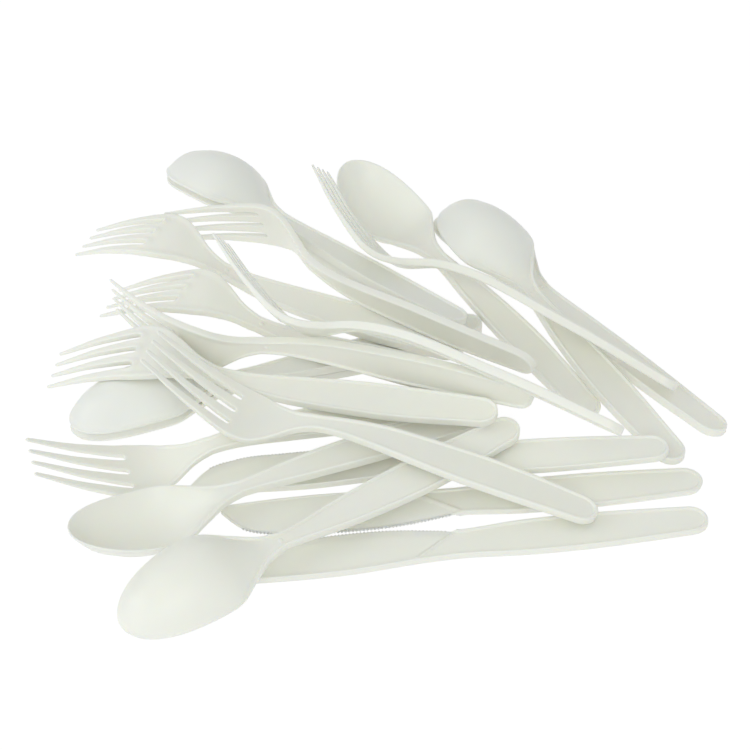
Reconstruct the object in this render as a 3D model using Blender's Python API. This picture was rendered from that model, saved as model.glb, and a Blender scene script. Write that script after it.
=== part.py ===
"""A pack of moulded throwaway cutlery, tipped out as a loose heap: nine forks, nine spoons and
three knives of one set, each its own solid, lying on the floor and on each other.

Every handle is a web with a raised bead round both of its faces, so it is a shallow tray in
front and a shallow hollow behind. Heads, bowls and blades grow out of that same section. Each
piece has a place, a heading and a roll in the heap; its height and its pitch are worked out by
laying it down on what is already there.

Own frame of a piece: X from the end of the handle to the tip, Z out of the front face.
"""
import math

import bmesh
import bpy
import numpy as np
from mathutils import Vector
from mathutils.bvhtree import BVHTree

MM = 0.001

# Section that the whole set shares
BEAD = 1.2 * MM
BEAD_SLOPE = 0.6 * MM
TRAY_DEPTH = 0.5 * MM
HOLLOW_DEPTH = 0.6 * MM
HANDLE_EDGE = 3.2 * MM
DRAFT = 0.25 * MM

# Handle that fork and spoon share
HANDLE_WIDTH = 14.2 * MM
HANDLE_WIDEST_AT = 46 * MM
HANDLE_END_WIDTH = 11.1 * MM
HANDLE_END_RADIUS = 6.5 * MM
NECK_WIDTH = 6.4 * MM

# Fork
FORK_LENGTH = 163.5 * MM
FORK_NECK_AT = 101 * MM
FORK_BELLY_AT = 124 * MM
FORK_SLOT_ROOT_AT = 130.5 * MM
FORK_HANDLE_RISE = 4.8 * MM
FORK_NECK_RISE = 5.6 * MM
FORK_BELLY_DROP = 1.4 * MM
FORK_TIP_RISE = 19 * MM
FORK_ROOT_PITCH = 6.5 * MM
FORK_TIP_PITCH = 5.1 * MM
FORK_SLOT = 2.0 * MM
FORK_TINE_TIP = 1.9 * MM
FORK_DISH = 0.8 * MM
FORK_WALL = 2.7 * MM
FORK_TIP_WALL = 0.9 * MM
FORK_BALANCE = 0.56

# Spoon
SPOON_LENGTH = 156.5 * MM
SPOON_NECK_AT = 96 * MM
SPOON_HANDLE_RISE = 4.3 * MM
SPOON_NECK_RISE = 6.2 * MM
SPOON_RIM_SAG = 5.4 * MM
SPOON_TIP_RISE = 12 * MM
BOWL_WIDEST_AT = 127 * MM
BOWL_WIDTH = 32.4 * MM
BOWL_STARTS_PAST_NECK = 2 * MM
BOWL_DEPTH = 10 * MM
BOWL_RIM = 0.6 * MM
BOWL_WALL = 1.5 * MM
SPOON_BALANCE = 0.58

# Knife
KNIFE_LENGTH = 168 * MM
KNIFE_HANDLE_WIDTH = 15 * MM
KNIFE_NECK_WIDTH = 11.4 * MM
KNIFE_HEEL_AT = 85 * MM
KNIFE_EDGE = 2.5 * MM
BLADE_EDGE_DEPTH = 9.2 * MM
BLADE_SPINE_DEPTH = 7.8 * MM
BLADE_WALL = 1.8 * MM
STEP_PAST_HEEL = 1 * MM
STEP_LENGTH = 8 * MM
STEP_SLANT = 0.9
SPINE_LEAD = 8 * MM
KNIFE_BALANCE = 0.5

# Laying the pieces down
TOUCHING_GAP = 0.3 * MM
FEELER_STEP = 1.2 * MM
HELD_AT = 300 * MM
MOST_PITCH = 20
PITCH_ROUNDS = 3
HALVINGS = 24

# Finish
IVORY = (0.76, 0.79, 0.71)
SATIN = 0.42
SHARP_EDGE_ANGLE = 40

# How a bowl deepens along its length: (share of its length, share of its depth)
BOWL_RUN = ((0, 0), (0.1, 0.06), (0.25, 0.45), (0.42, 0.87), (0.58, 1), (0.78, 0.88), (0.92, 0.55), (1, 0))

# Lines that run along a piece: eight across the section, six where the tray is plain
ALL_COLUMNS = (0, 1, 2, 3, 4, 5, 6, 7)
HANDLE_COLUMNS = (0, 1, 2, 5, 6, 7)
INSIDE_THE_RIM = np.array([0, 0, 1, 1, 1, 1, 0, 0])
PRONGS = 4
ROUNDED_SHARE = 0.7

# The heap, lowest piece first: where each balance point lies in plan (hundredths of HEAP_REACH
# across and away), the way its tip points and how far it is rolled over (degrees; 180 is back
# up). Two names in one row are two spoons nested in each other.
HEAP_REACH = 100 * MM
HEAP = (
    (('knife_3',), 'knife', 30.5, -82.5, -172.5, 180),
    (('knife_2',), 'knife', 30.5, -64, -173, 0),
    (('spoon_3',), 'spoon', 26.5, 51, 125.5, 5.5),
    (('spoon_5',), 'spoon', 68.5, 38.5, 127, 192),
    (('spoon_4',), 'spoon', 62.5, 30, 118.5, 184),
    (('knife_1',), 'knife', 18.5, -49.5, -178, 180),
    (('fork_9',), 'fork', -47.5, -41, -162.5, -4.5),
    (('spoon_8',), 'spoon', -41, -64.5, -154.5, 7.5),
    (('spoon_9',), 'spoon', -26, -87, -146.5, 172),
    (('spoon_7', 'spoon_6'), 'spoon', -46.5, -7, -162, 186),
    (('spoon_2', 'spoon_1'), 'spoon', -33, 74.5, 136, 195.5),
    (('fork_2',), 'fork', -49, 40.5, 153.5, 176.5),
    (('fork_1',), 'fork', -13.5, 38.5, 139.5, -106),
    (('fork_5',), 'fork', -34, 10.5, 157.5, 179),
    (('fork_6',), 'fork', -32, -10, 165.5, 86.5),
    (('fork_7',), 'fork', -46, -19.5, 169, 172),
    (('fork_3',), 'fork', 2.5, -18, 154, 52.5),
    (('fork_4',), 'fork', 32.5, 32.5, 148, 45),
    (('fork_8',), 'fork', -10.5, -47, 163, 2),
)


def flow(x, knots):
    """Smooth curve through the knots [(x, y), ...]."""
    at, value = np.array(knots, float).T
    slope = np.gradient(value, at)
    x = np.clip(x, at[0], at[-1])
    i = np.clip(np.searchsorted(at, x, side='right') - 1, 0, len(at) - 2)
    h = at[i + 1] - at[i]
    t = (x - at[i]) / h
    start = (1 + 2 * t) * (1 - t) ** 2 * value[i] + t * (1 - t) ** 2 * h * slope[i]
    return start + t * t * (3 - 2 * t) * value[i + 1] - t * t * (1 - t) * h * slope[i + 1]


def ease(x, start, end):
    """0 before start, 1 after end, smooth between."""
    t = np.clip((x - start) / (end - start), 0, 1)
    return t * t * (3 - 2 * t)


def along(start, end, shares):
    return [start + (end - start) * s for s in shares]


def grow(start, end, steps):
    """Knots of an outline that swells: (share of the way along, share of the way out)."""
    (x0, y0), (x1, y1) = start, end
    return [(x0 + (x1 - x0) * u, y0 + (y1 - y0) * v) for u, v in steps]


def handle_half_width(x, widest, neck, neck_at):
    """Half the handle's width at x, with its rounded end."""
    middle = 0.5 * (HANDLE_WIDEST_AT + neck_at)
    fullness = 0.04 * widest
    taper = [(0, 0.5 * HANDLE_END_WIDTH), (HANDLE_WIDEST_AT, 0.5 * widest),
             (middle, 0.25 * (widest + neck) + fullness), (neck_at, 0.5 * neck),
             (neck_at + HANDLE_END_RADIUS, 0.5 * neck)]
    rounding = 1 - np.clip(1 - x / HANDLE_END_RADIUS, 0, 1) ** 2.2
    return flow(x, taper) * math.sqrt(rounding)


def section_lines(half_width):
    """Places across the section: edge, bead and tray lines from one side to the other."""
    bead = min(BEAD, 0.4 * half_width)
    slope = min(BEAD_SLOPE, 0.2 * half_width)
    tray = half_width - bead - slope
    half = [half_width, half_width - bead, tray, 0.4 * tray]
    return np.array([-v for v in half] + half[::-1])


class Station:
    """One cross section: front and back points on the lines that run along the piece."""

    def __init__(self, x, y, front, back, columns=ALL_COLUMNS):
        draft = min(DRAFT, 0.1 * (y[-1] - y[0]))
        back_y = y.copy()
        back_y[0] += draft
        back_y[-1] -= draft
        self.columns = columns
        self.front = [(x, a, b) for a, b in zip(y, front)]
        self.back = [(x, a, b) for a, b in zip(back_y, back)]


def hollowed(x, z, fade, edge, dish):
    """Front and back heights of the beaded section, whose tray and hollow fade out."""
    open_here = INSIDE_THE_RIM * ease(x, BEAD, BEAD + BEAD_SLOPE) * (1 - fade)
    front = z - TRAY_DEPTH * open_here - dish
    back = z - edge + HOLLOW_DEPTH * open_here - dish
    return front, back


class Shape:
    """A closed mesh in the piece's own frame, lofted through stations."""

    def __init__(self, balance):
        self.balance = np.array([balance, 0, 0])
        self.points = []
        self.faces = []

    def add(self, point):
        self.points.append(point)
        return len(self.points) - 1

    def sheet(self, a, b, flip):
        """Faces between two stations on one side, over the lines that both have."""
        shared = [c for c in a if c in b]
        for left, right in zip(shared, shared[1:]):
            first = [a[c] for c in a if left <= c <= right]
            second = [b[c] for c in b if left <= c <= right]
            face = first + second[::-1]
            self.faces.append(face[::-1] if flip else face)

    def loft(self, stations):
        """Skin the stations, close the first one, and return the last one's points."""
        rings = []
        for s in stations:
            front = {c: self.add(s.front[c]) for c in s.columns}
            back = {c: self.add(s.back[c]) for c in s.columns}
            rings.append((front, back))
        self.cap(rings[0])
        for (fa, ba), (fb, bb) in zip(rings, rings[1:]):
            self.sheet(fa, fb, True)
            self.sheet(ba, bb, False)
            self.faces.append([fa[0], fb[0], bb[0], ba[0]])
            self.faces.append([fa[7], ba[7], bb[7], fb[7]])
        return rings[-1]

    def cap(self, ring):
        front, back = ring
        self.faces.append(list(front.values()) + list(back.values())[::-1])

    def prong(self, ring, left, right, sections):
        """A prong grown from two lines of the last station through four-point sections."""
        front, back = ring
        last = [front[left], front[right], back[right], back[left]]
        for section in sections:
            here = [self.add(p) for p in section]
            for k in range(4):
                n = (k + 1) % 4
                self.faces.append([last[k], last[n], here[n], here[k]])
            last = here
        self.faces.append(last)

    def build(self):
        """Turn the faces outwards, cut them into triangles and spread the feelers."""
        mesh = bmesh.new()
        verts = [mesh.verts.new(p) for p in self.points]
        for face in self.faces:
            mesh.faces.new([verts[i] for i in face])
        bmesh.ops.recalc_face_normals(mesh, faces=mesh.faces)
        mesh.verts.index_update()
        lines = [tuple(v.index for v in e.verts) for e in mesh.edges]
        bmesh.ops.triangulate(mesh, faces=mesh.faces)
        mesh.verts.index_update()
        self.corners = np.array([v.co for v in mesh.verts])
        self.triangles = [tuple(v.index for v in f.verts) for f in mesh.faces]
        mesh.free()
        self.feelers = self.spread(lines)
        return self

    def spread(self, lines):
        """Points set closely along the shape's lines, which feel for what it touches."""
        out = [self.corners]
        for a, b in lines:
            steps = int(np.linalg.norm(self.corners[b] - self.corners[a]) / FEELER_STEP)
            t = (np.arange(1, steps + 1) / (steps + 1))[:, None]
            out.append(self.corners[a] * (1 - t) + self.corners[b] * t)
        return np.vstack(out)


def rounded_end():
    """Places of the stations that round off the end of a handle."""
    rounded = ROUNDED_SHARE * HANDLE_END_RADIUS
    return [0.25 * BEAD, BEAD, BEAD + BEAD_SLOPE, rounded, 2 * rounded]


def handle_stations(end, shares, half_width, height):
    """Stations of a plain handle, whose end is rounded and beaded all round."""
    places = rounded_end()
    out = []
    for x in places + along(places[-1], end, shares):
        y = section_lines(half_width(x))
        front, back = hollowed(x, height(x), 0, HANDLE_EDGE, 0)
        out.append(Station(x, y, front, back, HANDLE_COLUMNS))
    return out


def fork_shape():
    """Handle, neck and dished head, then four prongs that curve up and close in."""
    root, neck, length = FORK_SLOT_ROOT_AT, FORK_NECK_AT, FORK_LENGTH
    half_prong = 0.5 * (FORK_ROOT_PITCH - FORK_SLOT)
    first_prong = 0.5 * (PRONGS - 1)
    head = first_prong * FORK_ROOT_PITCH + half_prong
    slim = 0.5 * NECK_WIDTH
    profile = [(0, 0), (HANDLE_WIDEST_AT, FORK_HANDLE_RISE), (neck, FORK_NECK_RISE),
               (FORK_BELLY_AT, -FORK_BELLY_DROP), (0.5 * (FORK_BELLY_AT + length), 0.35 * FORK_TIP_RISE),
               (length, FORK_TIP_RISE)]
    swell = ((0, 0), (0.25, 0.16), (0.5, 0.56), (0.75, 0.94), (1, 1), (1.07, 1))
    shoulder = grow((neck, slim), (root, head), swell)
    middles = [FORK_ROOT_PITCH * (i - first_prong) for i in range(PRONGS)]
    edges = [middle + side * half_prong for middle in middles for side in (-1, 1)]

    def half_width(x):
        return handle_half_width(x, HANDLE_WIDTH, NECK_WIDTH, neck) if x < neck else flow(x, shoulder)

    def height(x):
        return flow(x, profile)

    def prong_section(i, u):
        """Four corners of prong i, a share u of the way from its root to its tip."""
        x = root + (length - root) * u
        y = (i - first_prong) * (FORK_ROOT_PITCH * (1 - u) + FORK_TIP_PITCH * u)
        half = half_prong * (1 - u) + 0.5 * FORK_TINE_TIP * u
        half *= 0.4 if u == 1 else 1
        z = height(x) - FORK_DISH * (1 - (y / head) ** 2) * (1 - u)
        low = z - FORK_WALL * (1 - u) - FORK_TIP_WALL * u
        return [(x, y - half, z), (x, y + half, z), (x, y + half, low), (x, y - half, low)]

    shape = Shape(FORK_BALANCE * length)
    stations = handle_stations(neck, (0.14, 0.32, 0.5, 0.68, 0.85), half_width, height)
    for x in along(neck, root, (0, 0.16, 0.31, 0.45, 0.6, 0.78, 1)):
        half = half_width(x)
        fade = float(ease(x, neck, neck + 0.74 * (root - neck)))
        y = section_lines(half) * (1 - fade) + np.array(edges) / head * half * fade
        dish = FORK_DISH * fade * (1 - (y / half) ** 2)
        edge = HANDLE_EDGE * (1 - fade) + FORK_WALL * fade
        front, back = hollowed(x, height(x), fade, edge, dish)
        stations.append(Station(x, y, front, back))
    ring = shape.loft(stations)
    front, back = ring
    for left in range(1, 2 * PRONGS - 1, 2):
        shape.faces.append([front[left], front[left + 1], back[left + 1], back[left]])
    for i in range(PRONGS):
        sections = [prong_section(i, u) for u in (0.2, 0.42, 0.64, 0.83, 0.95, 1)]
        shape.prong(ring, 2 * i, 2 * i + 1, sections)
    return shape.build()


def spoon_shape():
    """Handle and neck, then an egg-shaped bowl whose rim dips and rises to the tip."""
    neck, length, widest_at = SPOON_NECK_AT, SPOON_LENGTH, BOWL_WIDEST_AT
    slim, wide = 0.5 * NECK_WIDTH, 0.5 * BOWL_WIDTH
    profile = [(0, 0), (HANDLE_WIDEST_AT, SPOON_HANDLE_RISE), (neck, SPOON_NECK_RISE),
               (0.5 * (neck + length), SPOON_RIM_SAG), (length, SPOON_TIP_RISE)]
    swell = ((0, 0), (0.22, 0.13), (0.5, 0.52), (0.77, 0.92), (1, 1), (1.1, 1))
    shoulder = grow((neck, slim), (widest_at, wide), swell)
    rim_lines = np.array([-1, -0.93, -0.68, -0.26, 0.26, 0.68, 0.93, 1])
    bowl_start = neck + BOWL_STARTS_PAST_NECK

    def half_width(x):
        if x < neck:
            return handle_half_width(x, HANDLE_WIDTH, NECK_WIDTH, neck)
        if x < widest_at:
            return flow(x, shoulder)
        return wide * math.sqrt(1 - ((x - widest_at) / (length - widest_at)) ** 2.1)

    def height(x):
        return flow(x, profile)

    def depth(x, y, half):
        """How far the bowl lies below its rim."""
        share = max(x - bowl_start, 0) / (length - bowl_start)
        inner = max(half - BOWL_RIM, 0.5 * BOWL_RIM)
        return BOWL_DEPTH * flow(share, BOWL_RUN) * np.clip(1 - np.abs(y / inner) ** 2.2, 0, 1)

    shape = Shape(SPOON_BALANCE * length)
    stations = handle_stations(neck, (0.16, 0.36, 0.57, 0.78, 0.93), half_width, height)
    places = along(neck, widest_at, (0.04, 0.2, 0.35, 0.5, 0.66, 0.83, 1))
    places += along(widest_at, length, (0.3, 0.56, 0.76, 0.9, 0.975, 0.998))
    for x in places:
        half = half_width(x)
        fade = float(ease(x, neck, neck + 0.6 * (widest_at - neck)))
        thinned = float(ease(x, neck, widest_at))
        y = section_lines(half) * (1 - fade) + rim_lines * half * fade
        edge = HANDLE_EDGE * (1 - thinned) + BOWL_WALL * thinned
        front, back = hollowed(x, height(x), fade, edge, depth(x, y, half))
        back = back + (edge - BOWL_WALL) * fade * INSIDE_THE_RIM
        stations.append(Station(x, y, front, back))
    shape.cap(shape.loft(stations))
    return shape.build()


def knife_shape():
    """Handle that steps out at the heel into a blade with a rounded tip at its spine."""
    length, heel, edge, spine = KNIFE_LENGTH, KNIFE_HEEL_AT, BLADE_EDGE_DEPTH, BLADE_SPINE_DEPTH
    neck = 0.5 * KNIFE_NECK_WIDTH
    spine_start = heel - SPINE_LEAD
    cutting = grow((heel, 0), (length, edge),
                   ((0, 0.83), (0.2, 0.97), (0.6, 1), (0.8, 0.83), (0.93, 0.33), (1, -0.44)))
    back_line = grow((heel, neck), (length, spine), ((0.1, 0), (0.5, 1.3), (0.85, 1), (1, 0.6)))
    back_line = [(spine_start, neck)] + back_line

    def sides(x):
        handle = handle_half_width(x, KNIFE_HANDLE_WIDTH, KNIFE_NECK_WIDTH, heel)
        low = -handle if x < spine_start else -flow(x, back_line)
        return low, handle if x < heel else flow(x, cutting)

    shape = Shape(KNIFE_BALANCE * length)
    places = rounded_end()
    places += along(places[-1], heel, (0.16, 0.36, 0.57, 0.76, 0.9, 0.985))
    places += along(heel, length, (0.015, 0.06, 0.14, 0.27, 0.42, 0.57, 0.7, 0.8, 0.88, 0.94, 0.98, 1))
    stations = []
    for x in places:
        low, high = sides(x)
        y = 0.5 * (low + high) + section_lines(0.5 * (high - low))
        step = heel + STEP_PAST_HEEL
        fade = ease(x + STEP_SLANT * y, step, step + STEP_LENGTH)
        edge = KNIFE_EDGE * (1 - fade) + BLADE_WALL * fade
        front, back = hollowed(x, 0, fade, edge, 0)
        stations.append(Station(x, y, front, back, HANDLE_COLUMNS))
    shape.cap(shape.loft(stations))
    return shape.build()


def turn(heading, pitch, roll):
    """Rotation of a piece: roll about its length, pitch its tip up, then head it in plan."""
    h, p, r = (math.radians(v) for v in (heading, pitch, roll))
    head = np.array([[math.cos(h), -math.sin(h), 0], [math.sin(h), math.cos(h), 0], [0, 0, 1]])
    tip = np.array([[math.cos(p), 0, -math.sin(p)], [0, 1, 0], [math.sin(p), 0, math.cos(p)]])
    spin = np.array([[1, 0, 0], [0, math.cos(r), -math.sin(r)], [0, math.sin(r), math.cos(r)]])
    return head @ tip @ spin


class Heap:
    """What has been laid down so far."""

    def __init__(self):
        self.feelers = np.zeros((0, 3))
        self.corners = []
        self.triangles = []
        self.tree = None

    def put(self, corners, triangles, feelers):
        base = len(self.corners)
        self.corners += [tuple(c) for c in corners]
        self.triangles += [tuple(i + base for i in t) for t in triangles]
        self.tree = BVHTree.FromPolygons(self.corners, self.triangles)
        self.feelers = np.vstack([self.feelers, feelers])

    def clearances(self, shape, rotation, x, y):
        """Free height under the piece, held level above the heap, and where along it."""
        place = np.array([x, y, HELD_AT])
        feelers = (shape.feelers - shape.balance) @ rotation.T + place
        ahead = rotation[:2, 0] / np.linalg.norm(rotation[:2, 0])
        aside = np.array([-ahead[1], ahead[0]])
        u, v = (feelers[:, :2] - place[:2]) @ ahead, (feelers[:, :2] - place[:2]) @ aside
        gaps = [feelers[:, 2] + TOUCHING_GAP]
        reach = [u]
        if self.tree:
            down = Vector((0, 0, -1))
            gaps.append(np.array([self.tree.ray_cast(p, down)[3] or np.inf for p in feelers]))
            reach.append(u)
            heap_u = (self.feelers[:, :2] - place[:2]) @ ahead
            heap_v = (self.feelers[:, :2] - place[:2]) @ aside
            near = (heap_u > u.min()) & (heap_u < u.max()) & (heap_v > v.min()) & (heap_v < v.max())
            corners = (shape.corners - shape.balance) @ rotation.T + place
            piece = BVHTree.FromPolygons([tuple(c) for c in corners], shape.triangles)
            up = Vector((0, 0, 1))
            gaps.append(np.array([piece.ray_cast(p, up)[3] or np.inf for p in self.feelers[near]]))
            reach.append(heap_u[near])
        gaps, reach = np.concatenate(gaps), np.concatenate(reach)
        met = np.isfinite(gaps)
        return gaps[met], reach[met]

    def rest(self, shape, x, y, heading, roll):
        """Height and pitch at which the piece lies on something on each side of its balance."""
        pitch = 0.0
        for again in range(PITCH_ROUNDS):
            gaps, reach = self.clearances(shape, turn(heading, pitch, roll), x, y)
            low, high = -MOST_PITCH, MOST_PITCH
            for halving in range(HALVINGS):
                middle = 0.5 * (low + high)
                lean = math.tan(math.radians(middle))
                if reach[np.argmin(gaps + reach * lean)] > 0:
                    low = middle
                else:
                    high = middle
            pitch += 0.5 * (low + high)
        gaps, reach = self.clearances(shape, turn(heading, pitch, roll), x, y)
        return HELD_AT - gaps.min() + TOUCHING_GAP, pitch

    def lay(self, shape, x, y, heading, roll):
        """Lay the piece down; return its rotation angles and where its handle's end comes."""
        z, pitch = self.rest(shape, x, y, heading, roll)
        rotation = turn(heading, pitch, roll)
        place = np.array([x, y, z])
        self.put((shape.corners - shape.balance) @ rotation.T + place, shape.triangles,
                 (shape.feelers - shape.balance) @ rotation.T + place)
        return (roll, -pitch, heading), place - rotation @ shape.balance


def plastic(name):
    """Satin ivory moulded plastic."""
    material = bpy.data.materials.new(name)
    material.use_nodes = True
    shader = material.node_tree.nodes['Principled BSDF']
    shader.inputs['Base Color'].default_value = (*IVORY, 1)
    shader.inputs['Roughness'].default_value = SATIN
    shader.inputs['Metallic'].default_value = 0
    return material


def as_mesh(kind, shape):
    mesh = bpy.data.meshes.new(kind)
    mesh.from_pydata(shape.corners.tolist(), [], shape.triangles)
    mesh.shade_smooth()
    mesh.set_sharp_from_angle(angle=math.radians(SHARP_EDGE_ANGLE))
    mesh.materials.append(plastic(kind + '_plastic'))
    return mesh


def clear_scene():
    for thing in list(bpy.data.objects):
        bpy.data.objects.remove(thing, do_unlink=True)


def build_heap():
    """Lay every piece down, then stand the heap's box on the origin."""
    shapes = {'fork': fork_shape(), 'spoon': spoon_shape(), 'knife': knife_shape()}
    meshes = {kind: as_mesh(kind, shape) for kind, shape in shapes.items()}
    heap = Heap()
    laid = []
    for names, kind, across, away, heading, roll in HEAP:
        for name in names:
            x, y = across * HEAP_REACH / 100, away * HEAP_REACH / 100
            angles, end = heap.lay(shapes[kind], x, y, heading, roll)
            laid.append((name, kind, angles, end))
    corners = np.array(heap.corners)
    low, high = corners.min(0), corners.max(0)
    base = np.array([0.5 * (low[0] + high[0]), 0.5 * (low[1] + high[1]), low[2]])
    for name, kind, angles, end in laid:
        piece = bpy.data.objects.new(name, meshes[kind])
        piece.rotation_euler = [math.radians(a) for a in angles]
        piece.location = end - base
        bpy.context.scene.collection.objects.link(piece)


if __name__ == '__main__':
    clear_scene()
    build_heap()
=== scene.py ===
# %% [markdown]
# A pack of throwaway cutlery, tipped out on a white table: forks, spoons and knives moulded in
# one go from an ivory plastic. Each piece is a thin web with a raised bead round both faces of
# its handle, so almost all that the eye meets is one satin surface with soft edges. The places
# come from the solids of the frame, and this file gives each of them its fine form, its finish
# and its light.

# %% Start from the frame
import math

import bpy
import numpy as np
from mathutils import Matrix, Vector
from mathutils.bvhtree import BVHTree
from mathutils.geometry import delaunay_2d_cdt
from mathutils.kdtree import KDTree


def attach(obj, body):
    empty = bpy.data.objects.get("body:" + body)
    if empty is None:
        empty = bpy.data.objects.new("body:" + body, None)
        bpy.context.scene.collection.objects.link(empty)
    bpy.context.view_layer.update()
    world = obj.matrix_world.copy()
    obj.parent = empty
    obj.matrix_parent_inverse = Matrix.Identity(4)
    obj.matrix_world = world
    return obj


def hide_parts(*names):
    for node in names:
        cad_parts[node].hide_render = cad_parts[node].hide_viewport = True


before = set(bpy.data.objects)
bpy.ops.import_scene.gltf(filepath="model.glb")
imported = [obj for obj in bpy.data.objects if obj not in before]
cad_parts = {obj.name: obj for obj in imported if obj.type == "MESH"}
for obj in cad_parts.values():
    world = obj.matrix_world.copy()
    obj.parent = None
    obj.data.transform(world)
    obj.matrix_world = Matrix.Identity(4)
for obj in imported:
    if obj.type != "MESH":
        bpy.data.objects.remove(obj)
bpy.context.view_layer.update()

# %% [markdown]
# All the pieces share one section, so its sizes come first. They are in millimetres, in the
# piece's own frame: X runs from the end of the handle to the tip, Y across, Z out of the front.
# The bead is the raised rim of both faces. Inside it lie a shallow tray in front and a shallow
# hollow behind, which leaves a thin web between them.

# %% Sizes of the shared section
MM = 0.001
BEAD = 1.2
BEAD_SLOPE = 0.45
TRAY_DEPTH = 0.6
HOLLOW_DEPTH = 0.7
HANDLE_EDGE = 3.2
DRAFT = 0.25
EDGE_RADIUS = 0.5
ARC_STEPS = 4
print('web between tray and hollow: %.1f mm' % (HANDLE_EDGE - TRAY_DEPTH - HOLLOW_DEPTH))

# %% Sizes of the handle that forks and spoons share
HANDLE_WIDTH = 14.2
HANDLE_WIDEST_AT = 46
HANDLE_END_WIDTH = 11.1
HANDLE_END_RADIUS = 6.5
HANDLE_END_POWER = 2.2
HANDLE_FULLNESS = 0.04
NECK_WIDTH = 6.4

# %% How close the points of an outline and of a face lie
CURVE_STEP = 0.2
GRAIN = 0.05
LONGEST_STEP = 1.0
TURN_PER_STEP = math.radians(13)
FACE_STEP = 1.15
RIM_LINES = (0.7, 0.95, 1.1, 1.25, 1.4, 1.55, 1.7, 1.9)

# %% [markdown]
# Every outline and height line is a smooth curve through a few knots. A Bezier curve object could
# hold them, but its points can't be asked for a height at a given x. A Hermite curve with slopes
# taken from the neighbours can, hardly overshoots, and works on whole arrays at once.

# %% Curves through knots
def flow(x, knots):
    """Smooth curve through the knots [(x, y), ...]."""
    at, value = np.array(knots, float).T
    slope = np.gradient(value, at)
    x = np.clip(x, at[0], at[-1])
    i = np.clip(np.searchsorted(at, x, side='right') - 1, 0, len(at) - 2)
    h = at[i + 1] - at[i]
    t = (x - at[i]) / h
    start = (1 + 2 * t) * (1 - t) ** 2 * value[i] + t * (1 - t) ** 2 * h * slope[i]
    return start + t * t * (3 - 2 * t) * value[i + 1] - t * t * (1 - t) * h * slope[i + 1]


def ease(x, start, end):
    """0 before start, 1 after end, smooth between."""
    t = np.clip((x - start) / (end - start), 0, 1)
    return t * t * (3 - 2 * t)


def blend(a, b, share):
    return a * (1 - share) + b * share


def grow(start, end, steps):
    """Knots of an outline that swells: (share of the way along, share of the way out)."""
    (x0, y0), (x1, y1) = start, end
    return [(x0 + (x1 - x0) * u, y0 + (y1 - y0) * v) for u, v in steps]


# %% Side of a handle
def handle_taper(x, widest, neck, neck_at):
    """Half the handle's width at x, before its end is rounded."""
    middle = 0.5 * (HANDLE_WIDEST_AT + neck_at)
    fullness = HANDLE_FULLNESS * widest
    return flow(x, [(0, 0.5 * HANDLE_END_WIDTH), (HANDLE_WIDEST_AT, 0.5 * widest),
                    (middle, 0.25 * (widest + neck) + fullness), (neck_at, 0.5 * neck),
                    (neck_at + HANDLE_END_RADIUS, 0.5 * neck)])


def handle_side(widest, neck, neck_at, stop):
    """Points (x, half width) of a handle from the middle of its rounded end to x = stop."""
    turn = np.linspace(0, 0.5 * math.pi, 60)
    x = HANDLE_END_RADIUS * (1 - np.cos(turn) ** (2 / HANDLE_END_POWER))
    end = np.c_[x, handle_taper(x, widest, neck, neck_at) * np.sin(turn)]
    x = np.arange(HANDLE_END_RADIUS + CURVE_STEP, stop, CURVE_STEP)
    return np.vstack([end, np.c_[x, handle_taper(x, widest, neck, neck_at)]])


# %% [markdown]
# A moulded piece is one closed skin over one outline. It could be lofted through cross sections,
# but then the bead would have to turn corners at the rounded end and round every slot. Here the
# outline comes first: it is resampled so that its points crowd where it bends, and shrunk inwards
# line by line, so that bead and edge rounding follow it everywhere by themselves.

# %% Points of an outline
def resample(points):
    """The closed outline with points close together where it bends, far apart where it is straight."""
    dense = np.vstack([points, points[:1]])
    length = np.r_[0, np.cumsum(np.linalg.norm(np.diff(dense, axis=0), axis=1))]
    even = np.linspace(0, length[-1], int(length[-1] / GRAIN))[:-1]
    line = np.c_[np.interp(even, length, dense[:, 0]), np.interp(even, length, dense[:, 1])]
    reach = 4
    ahead = np.roll(line, -reach, 0) - line
    behind = line - np.roll(line, reach, 0)
    turned = np.abs(ahead[:, 0] * behind[:, 1] - ahead[:, 1] * behind[:, 0])
    turned /= np.linalg.norm(ahead, axis=1) * np.linalg.norm(behind, axis=1)
    bend = np.arcsin(np.clip(turned, 0, 1)) / (reach * GRAIN)
    density = np.maximum(1 / LONGEST_STEP, bend / TURN_PER_STEP)
    side = 10
    window = np.ones(2 * side + 1) / (2 * side + 1)
    density = np.convolve(np.r_[density[-side:], density, density[:side]], window, 'valid')
    total = np.r_[0, np.cumsum(density)]
    count = int(total[-1] * GRAIN)
    picks = np.interp(np.arange(count) / count * total[-1], total, np.arange(len(total)))
    ring = np.vstack([line, line[:1]])
    at = np.arange(len(ring))
    return np.c_[np.interp(picks, at, ring[:, 0]), np.interp(picks, at, ring[:, 1])]


def inward(ring):
    """Unit normals of a closed anticlockwise ring, pointing into it."""
    along = np.roll(ring, -1, 0) - np.roll(ring, 1, 0)
    normal = np.c_[-along[:, 1], along[:, 0]]
    return normal / np.linalg.norm(normal, axis=1)[:, None]


def anticlockwise(ring):
    nxt = np.roll(ring, -1, 0)
    area = (ring[:, 0] * nxt[:, 1] - ring[:, 1] * nxt[:, 0]).sum()
    return ring if area > 0 else ring[::-1]


# %% Distance from an outline
class Rim:
    """Distance of any point of the plan from a piece's outline."""

    def __init__(self, ring):
        closed = np.vstack([ring, ring[:1]])
        share = np.arange(8)[:, None] / 8
        points = np.vstack([a + (b - a) * share for a, b in zip(closed, closed[1:])])
        self.tree = KDTree(len(points))
        for i, p in enumerate(points):
            self.tree.insert((p[0], p[1], 0), i)
        self.tree.balance()

    def distance(self, points):
        return np.array([self.tree.find((p[0], p[1], 0))[2] for p in points])


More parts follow.
